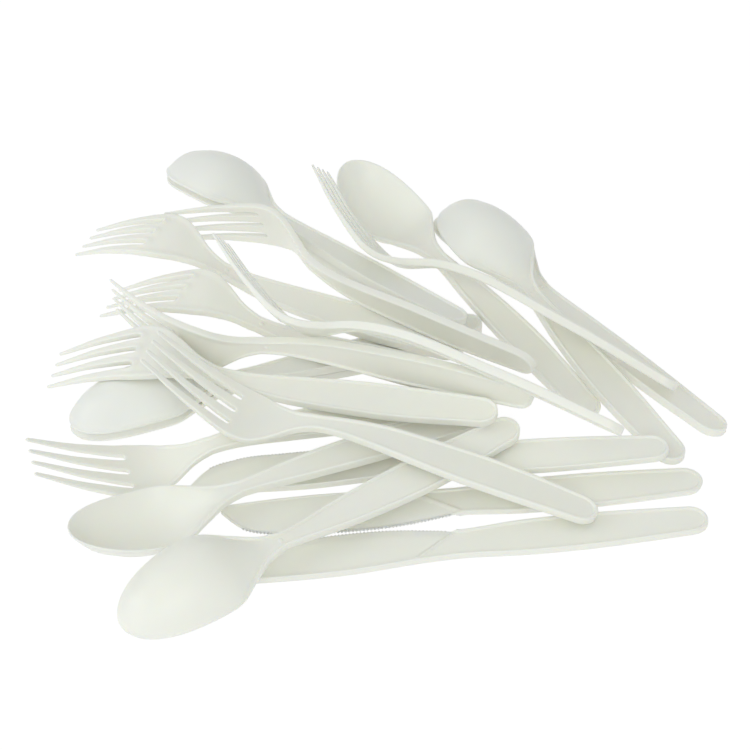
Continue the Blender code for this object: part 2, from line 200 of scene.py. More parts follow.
# %% [markdown]
# Inside the outline a face is filled with a triangulation that keeps to the rim lines. Blender's
# own constrained Delaunay routine does it, fed with the rim lines near the edge and with an even
# lattice of points farther in, so the skin is fine where the section turns and coarse where flat.

# %% Points inside a face
def lattice(ring):
    """Even triangular lattice over the ring's box."""
    low, high = ring.min(0), ring.max(0)
    rows = np.arange(low[1], high[1], FACE_STEP * math.sqrt(0.75))
    points = []
    for k, y in enumerate(rows):
        x = np.arange(low[0] + (k % 2) * 0.5 * FACE_STEP, high[0], FACE_STEP)
        points.append(np.c_[x, np.full(len(x), y)])
    return np.vstack(points)


def within(points, ring):
    """Which points lie inside the ring, by counting the edges to their right."""
    a, b = ring, np.roll(ring, -1, 0)
    inside = np.zeros(len(points), bool)
    for p, q in zip(a, b):
        if p[1] == q[1]:
            continue
        crosses = (points[:, 1] > p[1]) != (points[:, 1] > q[1])
        at = p[0] + (points[:, 1] - p[1]) / (q[1] - p[1]) * (q[0] - p[0])
        inside ^= crosses & (points[:, 0] < at)
    return inside


# %% Filling a face
LINE_CLEARANCE = 0.1
LINE_TRUTH = 0.97
LATTICE_CLEARANCE = 0.35 * FACE_STEP
ONLY_INSIDE = 1
WELD = 1e-6


def fill(outline, rim, start, extra):
    """Triangulate the face inside the outline shrunk by start; its ring of points comes first.

    The extra points follow a detail of the face, such as a rib.
    """
    normal = inward(outline)
    count = len(outline)
    points = [outline + normal * start[:, None]]
    edges = [(i, (i + 1) % count) for i in range(count)]
    base = count
    for reach in RIM_LINES:
        if reach < start.max() + LINE_CLEARANCE:
            continue
        line = outline + normal * reach
        kept = rim.distance(line) > LINE_TRUTH * reach
        number = np.cumsum(kept) - 1 + base
        following = np.roll(np.arange(count), -1)
        edges += [(int(number[i]), int(number[following[i]])) for i in range(count)
                  if kept[i] and kept[following[i]]]
        points.append(line[kept])
        base += int(kept.sum())
    inner = lattice(outline)
    inner = inner[within(inner, outline)]
    inner = inner[rim.distance(inner) > RIM_LINES[-1] + LATTICE_CLEARANCE]
    points.append(inner)
    if len(extra):
        points.append(extra[rim.distance(extra) > RIM_LINES[-1]])
    points = np.vstack(points)
    verts, _, faces, origins, _, _ = delaunay_2d_cdt([Vector(p) for p in points], edges,
                                                     [list(range(count))], ONLY_INSIDE, WELD)
    number, added = [], []
    for place, origin in zip(verts, origins):
        number.append(origin[0] if origin else len(points) + len(added))
        if not origin:
            added.append(tuple(place))
    if added:
        points = np.vstack([points, added])
    return points, [[number[i] for i in f] for f in faces]


# %% [markdown]
# The skin of a piece is then two faces, front and back, and a band that runs round the outline
# between them. The band rounds both edges with a quarter arc and leans in towards the back, as a
# moulded wall has to, or it would not leave its mould. How round its two edges are may change
# along the outline, because a bowl's rim and a blade's edge are thinner than a handle. The pip on
# the back of the neck, where the ejector pin pushed, is part of the same skin.

# %% Ejector pip
PIP_RADIUS = 0.75
PIP_HEIGHT = 0.4
PIP_FLANK = (0.7 * PIP_RADIUS, 1.2 * PIP_RADIUS)
PIP_RINGS = (0.45, 0.75, 0.95, 1.15, 1.4)


def pip_points(at):
    """Rings of points that let the skin follow the pip."""
    turn = np.linspace(0, 2 * math.pi, 15)[:-1]
    reach = PIP_RADIUS * np.array(PIP_RINGS)
    rings = [np.c_[at + r * np.cos(turn), r * np.sin(turn)] for r in reach]
    return np.vstack(rings + [[(at, 0)]])


# %% Skin of a piece
def skin(outline, heights, rounding, pip_at=None, ribs=()):
    """Points and faces of a closed skin; heights(x, y, d) gives its front and its back."""
    rim = Rim(outline)
    normal = inward(outline)
    count = len(outline)
    upper_radius, lower_radius, lean = rounding(outline[:, 0], outline[:, 1])
    top, top_faces = fill(outline, rim, upper_radius, ribs)
    extra = pip_points(pip_at) if pip_at else ribs
    low, low_faces = fill(outline, rim, lower_radius + lean, extra)
    height = heights(top[:, 0], top[:, 1], rim.distance(top))[0]
    depth = heights(low[:, 0], low[:, 1], rim.distance(low))[1]
    if pip_at:
        from_pip = np.hypot(low[:, 0] - pip_at, low[:, 1])
        depth -= PIP_HEIGHT * (1 - ease(from_pip, *PIP_FLANK))
    verts = [np.c_[top, height], np.c_[low, depth]]
    base = len(top) + len(low)
    loops = [np.arange(count)]
    for k in range(1, 2 * ARC_STEPS + 1):
        upper = k <= ARC_STEPS
        turn = 0.5 * math.pi * (k if upper else 2 * ARC_STEPS + 1 - k) / ARC_STEPS
        radius = upper_radius if upper else lower_radius
        reach = radius * (1 - math.sin(turn)) + (0 if upper else lean)
        drop = radius * (1 - math.cos(turn))
        z = height[:count] - drop if upper else depth[:count] + drop
        verts.append(np.c_[outline + normal * reach[:, None], z])
        loops.append(np.arange(count) + base)
        base += count
    loops.append(np.arange(count) + len(top))
    faces = top_faces + [[i + len(top) for i in f[::-1]] for f in low_faces]
    nxt = np.roll(np.arange(count), -1)
    for a, b in zip(loops, loops[1:]):
        faces += [[int(a[i]), int(b[i]), int(b[nxt[i]]), int(a[nxt[i]])] for i in range(count)]
    return np.vstack(verts), faces


# %% What the handles have in common
def even_rounding(x, y):
    same = np.ones(len(x))
    return EDGE_RADIUS * same, EDGE_RADIUS * same, DRAFT * same


def section(z, d, tray, hollow, edge, dish=0):
    """Front and back heights of the beaded section; tray and hollow are 1 where fully open."""
    inside = ease(d, BEAD - 0.5 * BEAD_SLOPE, BEAD + BEAD_SLOPE)
    front = z - TRAY_DEPTH * inside * tray - dish
    back = z - edge + HOLLOW_DEPTH * inside * hollow - dish
    return front, back


# %% [markdown]
# The fork's outline runs up one side, out and back along each prong, and home along the other
# side. Seen from the side the neck rises, the head dips to its belly, and the prongs curve up.
# The head is a little thinner than the handle, and its back is scooped out between two soft beads
# that run into the outer prongs. A fork could be bent from a flat plate with a lattice modifier,
# but a height line keeps the prongs upright in their own plane and their tips exact.

# %% Sizes of the fork
FORK_LENGTH = 163.5
FORK_NECK_AT = 101
FORK_BELLY_AT = 124
FORK_SLOT_ROOT_AT = 130.5
FORK_HANDLE_RISE = 4.8
FORK_NECK_RISE = 5.6
FORK_BELLY_DROP = 1.4
FORK_TIP_RISE = 19
FORK_ROOT_PITCH = 6.5
FORK_TIP_PITCH = 5.1
FORK_SLOT = 2.15
FORK_TINE_TIP = 1.7
FORK_DISH = 0.8
FORK_WALL = 2.5
FORK_TIP_WALL = 1.0
PRONG_POINT = 1.5
HEAD_HOLLOW = 0.75
HEAD_BEAD = (0.8, 3.2)
FORK_PIP_AT = 99
PRONGS = 4
HEAD_SWELL = ((0, 0), (0.25, 0.17), (0.5, 0.58), (0.73, 0.92), (0.9, 1), (1.07, 1))
print('fork: head', PRONGS * FORK_ROOT_PITCH - FORK_SLOT, 'mm wide')


# %% Fork, seen from above
def half_head():
    """Half the width of the fork's head, out to the sides of its outer prongs."""
    return 0.5 * (PRONGS * FORK_ROOT_PITCH - FORK_SLOT)


def fork_outline():
    root, neck, length = FORK_SLOT_ROOT_AT, FORK_NECK_AT, FORK_LENGTH
    half_prong = 0.5 * (FORK_ROOT_PITCH - FORK_SLOT)
    first = 0.5 * (PRONGS - 1)
    shoulder = grow((neck, 0.5 * NECK_WIDTH), (root, half_head()), HEAD_SWELL)
    x = np.arange(neck, root, CURVE_STEP)
    side = np.vstack([handle_side(HANDLE_WIDTH, NECK_WIDTH, neck, neck), np.c_[x, flow(x, shoulder)]])
    tip_radius = 0.5 * FORK_TINE_TIP
    slot_radius = 0.5 * FORK_SLOT

    def edge(i, way, x):
        u = (x - root) / (length - root)
        middle = (i - first) * blend(FORK_ROOT_PITCH, FORK_TIP_PITCH, u)
        return middle + way * blend(half_prong, tip_radius, u)

    points = [side]
    for i in reversed(range(PRONGS)):
        start = root if i == PRONGS - 1 else root + slot_radius
        stop = root if i == 0 else root + slot_radius
        tip = length - PRONG_POINT * tip_radius
        out = np.linspace(start, tip, 60)
        points.append(np.c_[out, edge(i, 1, out)])
        turn = np.linspace(0.5 * math.pi, -0.5 * math.pi, 30)[1:-1]
        middle = 0.5 * (edge(i, 1, tip) + edge(i, -1, tip))
        points.append(np.c_[tip + PRONG_POINT * tip_radius * np.cos(turn),
                            middle + 0.5 * (edge(i, 1, tip) - edge(i, -1, tip)) * np.sin(turn)])
        home = np.linspace(tip, stop, 60)
        points.append(np.c_[home, edge(i, -1, home)])
        if i:
            at = root + slot_radius
            high, low = edge(i, -1, at), edge(i - 1, 1, at)
            points.append(np.c_[at - slot_radius * np.cos(turn),
                                0.5 * (high + low) + 0.5 * (high - low) * np.sin(turn)])
    points.append((side * (1, -1))[::-1][:-1])
    return resample(anticlockwise(np.vstack(points)))


fork_ring = fork_outline()
print('fork:', len(fork_ring), 'points round its outline')

# %% [markdown]
# Where along the neck the handle's tray, hollow and bead give way to the head is a matter of shares
# of the way from the neck to the slots. They could be typed in as places, but as shares they
# keep their order when a length changes.

# %% Fork, seen from the side
HEAD_THINS = (0, 0.74)
TRAY_FADES = (0.1, 0.85)
HOLLOW_FADES = (0.1, 0.6)
SCOOP_STARTS = (0.1, 0.5)
SCOOP_ENDS = (0.9, 1.3)
PRONG_THINNING = 1.7


def fork_height(x):
    return flow(x, [(0, 0), (HANDLE_WIDEST_AT, FORK_HANDLE_RISE), (FORK_NECK_AT, FORK_NECK_RISE),
                    (FORK_BELLY_AT, -FORK_BELLY_DROP),
                    (0.5 * (FORK_BELLY_AT + FORK_LENGTH), 0.35 * FORK_TIP_RISE),
                    (FORK_LENGTH, FORK_TIP_RISE)])


def fork_section(x, y, d):
    root, neck = FORK_SLOT_ROOT_AT, FORK_NECK_AT
    along = (x - neck) / (root - neck)
    fade = ease(along, *HEAD_THINS)
    toward_tip = np.clip((x - root) / (FORK_LENGTH - root), 0, 1)
    dish = FORK_DISH * fade * (1 - (y / half_head()) ** 2) * (1 - toward_tip)
    prong = blend(FORK_WALL, FORK_TIP_WALL, toward_tip ** PRONG_THINNING)
    edge = blend(HANDLE_EDGE, prong, fade)
    tray, hollow = 1 - ease(along, *TRAY_FADES), 1 - ease(along, *HOLLOW_FADES)
    front, back = section(fork_height(x), d, tray, hollow, edge, dish)
    scooped = ease(d, *HEAD_BEAD) * ease(along, *SCOOP_STARTS) * (1 - ease(along, *SCOOP_ENDS))
    return front, back + HEAD_HOLLOW * scooped


fork = skin(fork_ring, fork_section, even_rounding, FORK_PIP_AT)
print('fork:', len(fork[0]), 'points', len(fork[1]), 'faces')

# %% [markdown]
# The spoon has the fork's handle, and an egg-shaped bowl. A bowl could be a sculpted or subdivided
# shell, but here it is two domes that follow one rule: the inner one starts a little inside the
# rim, the outer one right at the outline. That leaves an even thin wall. The handle's bead runs on
# beside the dome as a narrow flange, and fades out where the bowl is near its widest.

# %% Sizes of the spoon
SPOON_LENGTH = 156.5
SPOON_NECK_AT = 96
SPOON_HANDLE_RISE = 4.3
SPOON_NECK_RISE = 6.2
SPOON_RIM_SAG = 5.4
SPOON_TIP_RISE = 12
SPOON_PIP_AT = 97
BOWL_WIDEST_AT = 127
BOWL_WIDTH = 32.4
BOWL_STARTS_PAST_NECK = 2
BOWL_DEPTH = 10
BOWL_WALL = 1.5
BOWL_RIM = 0.6
BOWL_RIM_EDGE = 0.85
BOWL_RIM_RADIUS = 0.12
BOWL_LIP_RADIUS = 0.4
BOWL_DRAFT = 0.04
BOWL_TIP_POWER = 2.1
BOWL_POWER = 2.2
SHOULDER_FLANGE = (107, 124)
BOWL_RUN = ((0, 0), (0.1, 0.06), (0.25, 0.45), (0.42, 0.87), (0.58, 1),
            (0.78, 0.88), (0.92, 0.55), (1, 0))
SPOON_SWELL = ((0, 0), (0.22, 0.13), (0.5, 0.52), (0.77, 0.92), (1, 1), (1.1, 1))
print('spoon: bowl', BOWL_WIDTH, 'mm wide and', BOWL_DEPTH, 'mm deep')


# %% Spoon, seen from above
def spoon_shoulder():
    start, end = (SPOON_NECK_AT, 0.5 * NECK_WIDTH), (BOWL_WIDEST_AT, 0.5 * BOWL_WIDTH)
    return grow(start, end, SPOON_SWELL)


def spoon_outline():
    neck, widest = SPOON_NECK_AT, BOWL_WIDEST_AT
    x = np.arange(neck, widest, CURVE_STEP)
    turn = np.linspace(0, 0.5 * math.pi, 120)
    tip = np.c_[widest + (SPOON_LENGTH - widest) * np.sin(turn) ** (2 / BOWL_TIP_POWER),
                0.5 * BOWL_WIDTH * np.cos(turn)]
    side = np.vstack([handle_side(HANDLE_WIDTH, NECK_WIDTH, neck, neck),
                      np.c_[x, flow(x, spoon_shoulder())], tip])
    return resample(anticlockwise(np.vstack([side, (side * (1, -1))[::-1][1:-1]])))


def spoon_half_width(x):
    share = np.clip((x - BOWL_WIDEST_AT) / (SPOON_LENGTH - BOWL_WIDEST_AT), 0, 1)
    round_tip = 0.5 * BOWL_WIDTH * np.sqrt(1 - share ** BOWL_TIP_POWER)
    return np.where(x < BOWL_WIDEST_AT, flow(x, spoon_shoulder()), round_tip)


spoon_ring = spoon_outline()
print('spoon:', len(spoon_ring), 'points round its outline')

# %% Spoon, seen from the side
SPOON_TRAY_FADES = (0.1, 0.8)
SPOON_HOLLOW_FADES = (0.3, 1)
SMALLEST_DOME = 0.2


def spoon_height(x):
    neck = SPOON_NECK_AT
    return flow(x, [(0, 0), (HANDLE_WIDEST_AT, SPOON_HANDLE_RISE), (neck, SPOON_NECK_RISE),
                    (0.5 * (neck + SPOON_LENGTH), SPOON_RIM_SAG), (SPOON_LENGTH, SPOON_TIP_RISE)])


def dome(x, y, inset):
    """Depth, as a share of the bowl's, of a dome that starts inset from the outline."""
    start, end = SPOON_NECK_AT + BOWL_STARTS_PAST_NECK + inset, SPOON_LENGTH - inset
    lengthwise = flow((x - start) / (end - start), BOWL_RUN)
    beside_bead = (BEAD + BEAD_SLOPE) * (1 - ease(x, *SHOULDER_FLANGE))
    inner = np.maximum(spoon_half_width(x) - inset - beside_bead, SMALLEST_DOME)
    return lengthwise * np.clip(1 - np.abs(y / inner) ** BOWL_POWER, 0, 1)


def spoon_section(x, y, d):
    neck = SPOON_NECK_AT
    along = (x - neck) / (BOWL_WIDEST_AT - neck)
    edge = blend(HANDLE_EDGE, BOWL_RIM_EDGE, ease(along, 0, 1))
    tray, hollow = 1 - ease(along, *SPOON_TRAY_FADES), 1 - ease(along, *SPOON_HOLLOW_FADES)
    front, back = section(spoon_height(x), d, tray, hollow, edge)
    front = front - BOWL_DEPTH * dome(x, y, BOWL_RIM)
    back = back - (BOWL_DEPTH + BOWL_WALL - edge) * dome(x, y, 0)
    return front, back


def spoon_rounding(x, y):
    thin = ease(x, SPOON_NECK_AT, BOWL_WIDEST_AT)
    upper = blend(EDGE_RADIUS, BOWL_LIP_RADIUS, thin)
    return upper, blend(EDGE_RADIUS, BOWL_RIM_RADIUS, thin), blend(DRAFT, BOWL_DRAFT, thin)


spoon = skin(spoon_ring, spoon_section, spoon_rounding, SPOON_PIP_AT)
print('spoon:', len(spoon[0]), 'points', len(spoon[1]), 'faces')

# %% [markdown]
# The knife is the one piece whose two sides differ: the spine runs on from the handle, and the
# cutting side swells beyond the heel. A slanted rib crosses both faces where the blade begins. The
# blade thins out towards its cutting edge from behind, so its front stays flat. A boolean cut
# could make that bevel, but as part of the height rule it blends into the rib without a seam.

# %% Sizes of the knife
KNIFE_LENGTH = 168
KNIFE_HANDLE_WIDTH = 15
KNIFE_NECK_WIDTH = 11.4
KNIFE_HEEL_AT = 85
KNIFE_EDGE = 2.5
BLADE_EDGE_DEPTH = 9.2
BLADE_SPINE_DEPTH = 7.8
BLADE_WALL = 1.45
RIB_PAST_HEEL = 9.5
RIB_SLANT = 1.45
RIB_WIDTH = 2.1
RIB_FLANK = 0.8
RIB_HEIGHT = 0.45
BLADE_SINK = 0.35
SPINE_LEAD = 8
BLADE_THIN = 0.7
BEVEL = 4
CUTTING_RADIUS = 0.22
CUTTING_DRAFT = 0.1
CUTTING_STEPS = ((0, 0.62), (0.1, 0.78), (0.26, 0.98), (0.6, 1), (0.8, 0.83), (0.93, 0.33),
                 (1, -0.44))
SPINE_STEPS = ((0.02, 0.12), (0.16, 0.3), (0.5, 1.25), (0.85, 1), (1, 0.6))
print('knife: blade', BLADE_WALL, 'mm thick,', BLADE_THIN, 'mm at its edge')


# %% Knife, seen from above
def cutting_line(x):
    heel = (KNIFE_HEEL_AT, 0)
    return flow(x, grow(heel, (KNIFE_LENGTH, BLADE_EDGE_DEPTH), CUTTING_STEPS))


def spine_line(x):
    """How far the spine lies below the knife's axis."""
    lead = KNIFE_HEEL_AT - SPINE_LEAD * np.arange(4, 1, -1)
    handle = handle_taper(lead, KNIFE_HANDLE_WIDTH, KNIFE_NECK_WIDTH, KNIFE_HEEL_AT)
    neck = (KNIFE_HEEL_AT, 0.5 * KNIFE_NECK_WIDTH)
    blade = grow(neck, (KNIFE_LENGTH, BLADE_SPINE_DEPTH), SPINE_STEPS)
    return flow(x, [*zip(lead, handle), *blade])


def knife_outline():
    heel, length = KNIFE_HEEL_AT, KNIFE_LENGTH
    spine_start = heel - 2 * SPINE_LEAD
    handle = handle_side(KNIFE_HANDLE_WIDTH, KNIFE_NECK_WIDTH, heel, heel)
    blade = np.arange(heel + 1, length - 2 * CURVE_STEP, CURVE_STEP)
    spine = np.arange(spine_start, length, CURVE_STEP)
    low = handle[handle[:, 0] < spine_start] * (1, -1)
    top = np.vstack([handle, np.c_[blade, cutting_line(blade)]])
    under = np.vstack([low, np.c_[spine, -spine_line(spine)]])
    return resample(anticlockwise(np.vstack([top, under[::-1][:-1]])))


knife_ring = knife_outline()
print('knife:', len(knife_ring), 'points round its outline')


# %% Knife, its heights
def thinned(x, y):
    """How far the blade has thinned out: 1 at the cutting edge, 0 at the spine and the handle."""
    return (1 - ease(cutting_line(x) - y, 0, BEVEL)) * ease(x, KNIFE_HEEL_AT, KNIFE_HEEL_AT + BEVEL)


def knife_section(x, y, d):
    past = x + RIB_SLANT * y - KNIFE_HEEL_AT - RIB_PAST_HEEL
    inside = ease(d, 0.5 * BEAD, BEAD)
    tray = 1 - ease(past, -RIB_WIDTH - RIB_FLANK, -RIB_WIDTH)
    front, handle = section(0 * x, d, tray, 1, KNIFE_EDGE)
    front = front - BLADE_SINK * ease(past, 0, RIB_FLANK) * inside
    from_spine = ease(y + spine_line(x), BEAD - 0.5 * BEAD_SLOPE, BEAD + BEAD_SLOPE)
    blade = (KNIFE_EDGE - BLADE_WALL) * (from_spine - 1) - BLADE_WALL
    blade = blade + (BLADE_WALL - BLADE_THIN) * thinned(x, y)
    past_rib = ease(past, -0.25 * RIB_FLANK, 0.75 * RIB_FLANK)
    rib = RIB_HEIGHT * ease(past, -RIB_WIDTH, RIB_FLANK - RIB_WIDTH) * (1 - past_rib) * inside
    return front, blend(handle, blade, past_rib) - rib


def heel_ribs():
    """Rows of points that let the skin follow the slanted rib at the heel."""
    y = np.arange(-0.5 * KNIFE_NECK_WIDTH, 0.5 * KNIFE_NECK_WIDTH, 0.6)
    along = KNIFE_HEEL_AT + RIB_PAST_HEEL - RIB_SLANT * y
    return np.vstack([np.c_[along + past, y] for past in np.arange(-3, 1.1, 0.4)])


def knife_rounding(x, y):
    sharp = thinned(x, y)
    radius = blend(EDGE_RADIUS, CUTTING_RADIUS, sharp)
    return radius, radius, blend(DRAFT, CUTTING_DRAFT, sharp)


knife = skin(knife_ring, knife_section, knife_rounding, ribs=heel_ribs())
print('knife:', len(knife[0]), 'points', len(knife[1]), 'faces')

# %% [markdown]
# The cutting edge is a row of fine teeth, one every 1.25 mm, which start a little past the heel.
# They could be cut into the outline, but that would need many more points all along the blade. Such
# a row follows a rule, so Geometry Nodes lay it: the tree takes the cutting line, spaces points
# along it, and stands a small round tooth on each.

# %% Serration, its node tree
TOOTH_PITCH = 1.25
TOOTH_RADIUS = 0.32
TOOTH_INSET = 0.14
TOOTH_CORNERS = 12
TEETH_PAST_HEEL = 5
TEETH_BEFORE_TIP = 7
TOOTH_HEIGHT = 0.9 * BLADE_THIN
CUTTING_LINE_STEP = 0.5


def socket(tree, name, kind, way='INPUT'):
    return tree.interface.new_socket(name=name, in_out=way, socket_type=kind).identifier


def tooth_tree():
    """Node tree that stands a round tooth on evenly spaced points of a line."""
    tree = bpy.data.node_groups.new('row_of_teeth', 'GeometryNodeTree')
    socket(tree, 'Geometry', 'NodeSocketGeometry')
    keys = {name: socket(tree, name, 'NodeSocketFloat') for name in ('Pitch', 'Radius', 'Height')}
    keys['Material'] = socket(tree, 'Material', 'NodeSocketMaterial')
    socket(tree, 'Geometry', 'NodeSocketGeometry', 'OUTPUT')
    new = tree.nodes.new
    given, result = new('NodeGroupInput'), new('NodeGroupOutput')
    line = new('GeometryNodeMeshToCurve')
    spaced = new('GeometryNodeResampleCurve')
    spaced.mode = 'LENGTH'
    tooth = new('GeometryNodeMeshCylinder')
    tooth.inputs['Vertices'].default_value = TOOTH_CORNERS
    rows = new('GeometryNodeInstanceOnPoints')
    real = new('GeometryNodeRealizeInstances')
    finish = new('GeometryNodeSetMaterial')
    for source, target in ((given.outputs['Geometry'], line.inputs['Mesh']),
                           (line.outputs['Curve'], spaced.inputs['Curve']),
                           (given.outputs['Pitch'], spaced.inputs['Length']),
                           (given.outputs['Radius'], tooth.inputs['Radius']),
                           (given.outputs['Height'], tooth.inputs['Depth']),
                           (spaced.outputs['Curve'], rows.inputs['Points']),
                           (tooth.outputs['Mesh'], rows.inputs['Instance']),
                           (rows.outputs['Instances'], real.inputs['Geometry']),
                           (real.outputs['Geometry'], finish.inputs['Geometry']),
                           (given.outputs['Material'], finish.inputs['Material']),
                           (finish.outputs['Geometry'], result.inputs['Geometry'])):
        tree.links.new(source, target)
    return tree, keys


# %% Serration, laid along the cutting line
def plain_mesh(thing):
    """Points (in millimetres) and faces of an object as its modifiers leave it."""
    evaluated = thing.evaluated_get(bpy.context.evaluated_depsgraph_get())
    mesh = bpy.data.meshes.new_from_object(evaluated)
    points = np.array([v.co for v in mesh.vertices]) / MM
    faces = [list(p.vertices) for p in mesh.polygons]
    bpy.data.meshes.remove(mesh)
    bpy.data.objects.remove(thing)
    return points, faces


def teeth(material):
    x = np.arange(KNIFE_HEEL_AT + TEETH_PAST_HEEL, KNIFE_LENGTH - TEETH_BEFORE_TIP, CUTTING_LINE_STEP)
    z = np.full(len(x), -0.5 * BLADE_THIN)
    mesh = bpy.data.meshes.new('cutting_line')
    points = np.c_[x, cutting_line(x) - TOOTH_INSET, z] * MM
    mesh.from_pydata(points.tolist(), [(i, i + 1) for i in range(len(x) - 1)], [])
    row = bpy.data.objects.new('teeth', mesh)
    bpy.context.scene.collection.objects.link(row)
    tree, keys = tooth_tree()
    nodes = row.modifiers.new('teeth', 'NODES')
    nodes.node_group = tree
    nodes[keys['Pitch']] = TOOTH_PITCH * MM
    nodes[keys['Radius']] = TOOTH_RADIUS * MM
    nodes[keys['Height']] = TOOTH_HEIGHT * MM
    nodes[keys['Material']] = material
    return plain_mesh(row)


# %% [markdown]
# A knife with its teeth is several meshes that become one. Blender can join objects, but joining
# their lists of points and faces needs no selection and keeps the order of the faces.

# %% Joining parts
def joined(name, parts):
    """One smooth mesh of several (points, faces), in metres."""
    points = np.vstack([p for p, _ in parts]) * MM
    faces, base = [], 0
    for p, f in parts:
        faces += [[i + base for i in face] for face in f]
        base += len(p)
    mesh = bpy.data.meshes.new(name)
    mesh.from_pydata(points.tolist(), [], faces)
    mesh.shade_smooth()
    return mesh


# %% [markdown]
# The plastic is a very pale ivory, satin from the mould's fine texture, and a little light passes
# into it, which softens and warms the shade between the pieces. Its colour drifts very slightly
# where the melt flowed, its gloss is uneven from handling, and it has a fine grain, a slow waviness
# and a few hairline scratches from lying loose in the pack. An image could hold all this, but noise
# on Object coordinates has no seams and stays sharp from close by.

# %% Ivory plastic
IVORY = (0.908, 0.909, 0.836, 1)
IVORY_PALE = (0.920, 0.922, 0.860, 1)
LIGHT_INSIDE = 0.5
LIGHT_REACH = 0.0015
LIGHT_REACH_BY_COLOUR = (1.0, 0.85, 0.6)
REFRACTION = 1.46
SATIN = (0.3, 0.42)

# Scale and detail of each pattern, and how the scratches are drawn out
MELT_FLOW = (60, 4)
HANDLING = (140, 5)
WAVINESS = (35, 1)
FINE_GRAIN = (2600, 3)
SCRATCHES = (900, 2, (1, 0.04, 0.3))


def ivory_plastic():
    material = bpy.data.materials.new('ivory_plastic_satin')
    material.use_nodes = True
    nodes, links = material.node_tree.nodes, material.node_tree.links
    shader = nodes['Principled BSDF']
    shader.inputs['Subsurface Weight'].default_value = LIGHT_INSIDE
    shader.inputs['Subsurface Radius'].default_value = LIGHT_REACH_BY_COLOUR
    shader.inputs['Subsurface Scale'].default_value = LIGHT_REACH
    shader.inputs['IOR'].default_value = REFRACTION
    place = nodes.new('ShaderNodeTexCoord')

    def noise(scale, detail, stretch=(1, 1, 1)):
        mapping = nodes.new('ShaderNodeMapping')
        mapping.inputs['Scale'].default_value = stretch
        texture = nodes.new('ShaderNodeTexNoise')
        texture.inputs['Scale'].default_value = scale
        texture.inputs['Detail'].default_value = detail
        links.new(place.outputs['Object'], mapping.inputs['Vector'])
        links.new(mapping.outputs['Vector'], texture.inputs['Vector'])
        return texture.outputs['Fac']

    tint = nodes.new('ShaderNodeMix')
    tint.data_type = 'RGBA'
    tint.inputs['A'].default_value = IVORY
    tint.inputs['B'].default_value = IVORY_PALE
    links.new(noise(*MELT_FLOW), tint.inputs['Factor'])
    links.new(tint.outputs['Result'], shader.inputs['Base Color'])
    gloss = nodes.new('ShaderNodeMapRange')
    gloss.inputs['From Min'].default_value = 0.3
    gloss.inputs['From Max'].default_value = 0.7
    gloss.inputs['To Min'].default_value, gloss.inputs['To Max'].default_value = SATIN
    links.new(noise(*HANDLING), gloss.inputs['Value'])
    links.new(gloss.outputs['Result'], shader.inputs['Roughness'])
    scratch = nodes.new('ShaderNodeMapRange')
    scratch.inputs['From Min'].default_value = 0.7
    scratch.inputs['From Max'].default_value = 0.78
    links.new(noise(*SCRATCHES), scratch.inputs['Value'])
    normal = None
    for height, strength, distance in ((noise(*WAVINESS), 0.25, 0.0006),
                                       (noise(*FINE_GRAIN), 0.1, 0.0002),
                                       (scratch.outputs['Result'], 0.08, 0.00005)):
        bump = nodes.new('ShaderNodeBump')
        bump.inputs['Strength'].default_value = strength
        bump.inputs['Distance'].default_value = distance
        links.new(height, bump.inputs['Height'])
        if normal:
            links.new(normal, bump.inputs['Normal'])
        normal = bump.outputs['Normal']
    links.new(normal, shader.inputs['Normal'])
    return material


plastic = ivory_plastic()
print('plastic:', len(plastic.node_tree.nodes), 'nodes')

# %% [markdown]
# Each solid of the frame says where its piece lies. The fine piece is turned onto it by matching:
# first the main axes of both clouds of points, in the four ways that keep a right hand, then a few
# rounds of closest points, as a surveyor fits a scan. A coarse round with few points picks the
# right way round, and a fine one finishes it. The places could be typed in as angles and shifts,
# but a fit keeps every piece on its solid when the heap changes.

# %% Fitting a piece onto its solid
COARSE_POINTS = 240
COARSE_ROUNDS = 5
FINE_POINTS = 1100
FINE_ROUNDS = 8
KEPT_SHARE = 0.9


def main_axes(points, weights):
    middle = np.average(points, axis=0, weights=weights)
    spread = np.cov((points - middle).T, aweights=weights)
    axes = np.linalg.eigh(spread)[1][:, ::-1]
    return middle, axes


def best_turn(a, b):
    """Rotation and shift that carry the points a onto the points b."""
    ma, mb = a.mean(0), b.mean(0)
    u, _, vt = np.linalg.svd((a - ma).T @ (b - mb))
    flip = np.diag([1, 1, np.sign(np.linalg.det(vt.T @ u.T))])
    rotation = vt.T @ flip @ u.T
    return rotation, mb - rotation @ ma


# %% Points of a solid
def solid_points(name):
    """Points spread evenly over a solid's faces."""
    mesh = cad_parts[name].data
    co = np.array([v.co for v in mesh.vertices])
    tri = np.array([p.vertices[:] for p in mesh.polygons])
    a, b, c = co[tri[:, 0]], co[tri[:, 1]], co[tri[:, 2]]
    area = 0.5 * np.linalg.norm(np.cross(b - a, c - a), axis=1)
    share = [(1 / 3, 1 / 3), (0.6, 0.2), (0.2, 0.6), (0.2, 0.2)]
    points = np.vstack([a + (b - a) * s + (c - a) * t for s, t in share])
    return points, np.tile(area, len(share))


